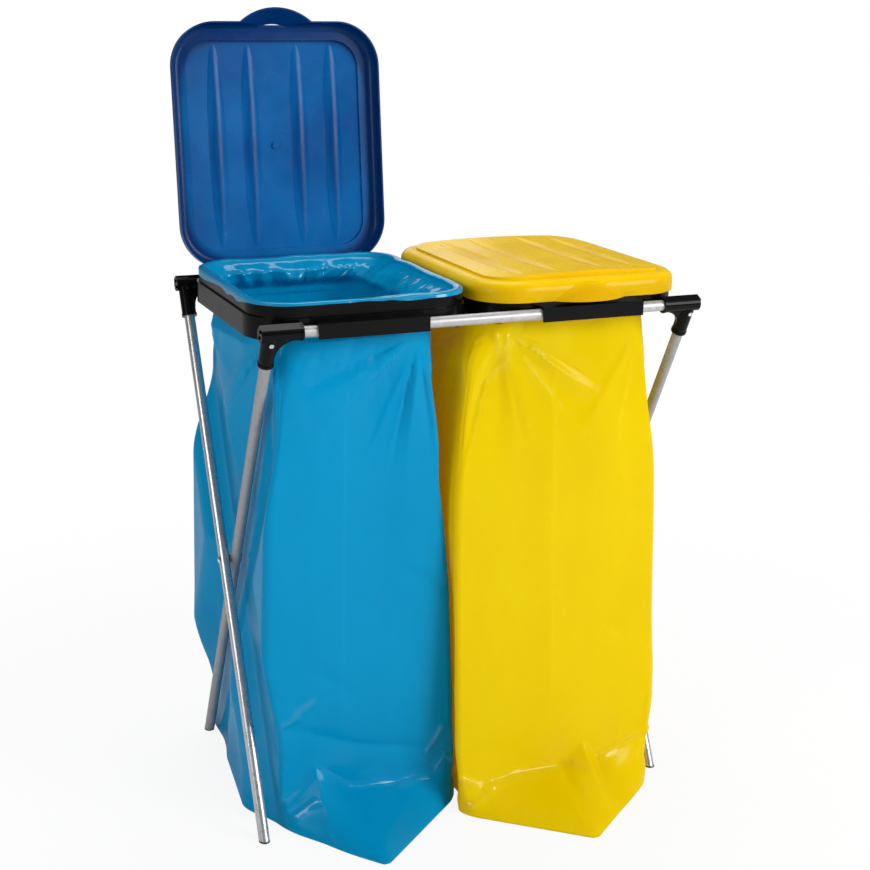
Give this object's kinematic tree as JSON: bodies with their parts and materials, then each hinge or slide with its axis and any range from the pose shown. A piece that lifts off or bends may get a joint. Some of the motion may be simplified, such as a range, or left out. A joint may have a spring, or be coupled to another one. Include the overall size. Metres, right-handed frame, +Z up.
{
  "type": "recycling sack holder",
  "caption": "Folding stand of crossed round-tube frames holding film sacks side by side under hinged lids, for sorting recycling.",
  "frame": {"origin": "on the floor, in the middle under the whole object's bounding box", "axes": "+Z up; +X to the side of the yellow lid; -Y is the front, where the lids' thumb lips are"},
  "size_m": [0.862, 0.8982, 1.452],
  "materials": {
    "tube": "satin",
    "black_moulding": "gloss",
    "foot_black": "matte",
    "screw_steel": "bright zinc",
    "spacer_grey": "matte",
    "ring_grey": "satin",
    "lid_blue": "satin",
    "lid_yellow": "satin",
    "film_blue": "glossy film",
    "film_yellow": "glossy film"
  },
  "bodies": {
    "rear_frame": {"rear_tube": "tube", "rear_leg_left": "tube", "rear_leg_right": "tube", "rear_elbow_left": "black_moulding", "rear_elbow_right": "black_moulding", "rear_elbow_screw_left": "screw_steel", "rear_elbow_screw_right": "screw_steel", "rear_foot_left": "foot_black", "rear_foot_right": "foot_black", "pivot_rivet_left": "screw_steel", "pivot_rivet_right": "screw_steel", "pivot_spacer_left": "spacer_grey", "pivot_spacer_right": "spacer_grey", "pivot_washer_left": "screw_steel", "pivot_washer_right": "screw_steel"},
    "front_frame": {"front_tube": "tube", "front_leg_left": "tube", "front_leg_right": "tube", "front_elbow_left": "black_moulding", "front_elbow_right": "black_moulding", "front_elbow_screw_left": "screw_steel", "front_elbow_screw_right": "screw_steel", "front_foot_left": "foot_black", "front_foot_right": "foot_black"},
    "ring_body_left": {"ring_left": "ring_grey", "lid_pin_left": "screw_steel", "sack_left": "film_blue"},
    "lid_body_left": {"lid_left": "lid_blue"},
    "ring_body_right": {"ring_right": "ring_grey", "lid_pin_right": "screw_steel", "sack_right": "film_yellow"},
    "lid_body_right": {"lid_right": "lid_yellow"}
  },
  "joints": [
    {"name": "frame_fold", "type": "hinge", "parent": "rear_frame", "child": "front_frame", "pos_m": [0, 0, 0.4621], "axis": [-1, 0, 0], "range_deg": [0, 48], "deforming": ["sack_left", "sack_right"]},
    {"name": "ring_left_swing", "type": "hinge", "parent": "rear_frame", "child": "ring_body_left", "pos_m": [-0.208, 0.242, 0.94], "axis": [-1, 0, 0], "range_deg": [0, 86]},
    {"name": "ring_right_swing", "type": "hinge", "parent": "rear_frame", "child": "ring_body_right", "pos_m": [0.208, 0.242, 0.94], "axis": [-1, 0, 0], "range_deg": [0, 86]},
    {"name": "lid_left_hinge", "type": "hinge", "parent": "ring_body_left", "child": "lid_body_left", "pos_m": [-0.208, 0.232, 0.962], "axis": [-1, 0, 0], "range_deg": [-97, 0]},
    {"name": "lid_right_hinge", "type": "hinge", "parent": "ring_body_right", "child": "lid_body_right", "pos_m": [0.208, 0.232, 0.962], "axis": [-1, 0, 0], "range_deg": [0, 97]}
  ],
  "couplings": [
    {"joint": "ring_left_swing", "follows": "frame_fold", "ratio": 1.7916},
    {"joint": "ring_right_swing", "follows": "frame_fold", "ratio": 1.7916}
  ]
}
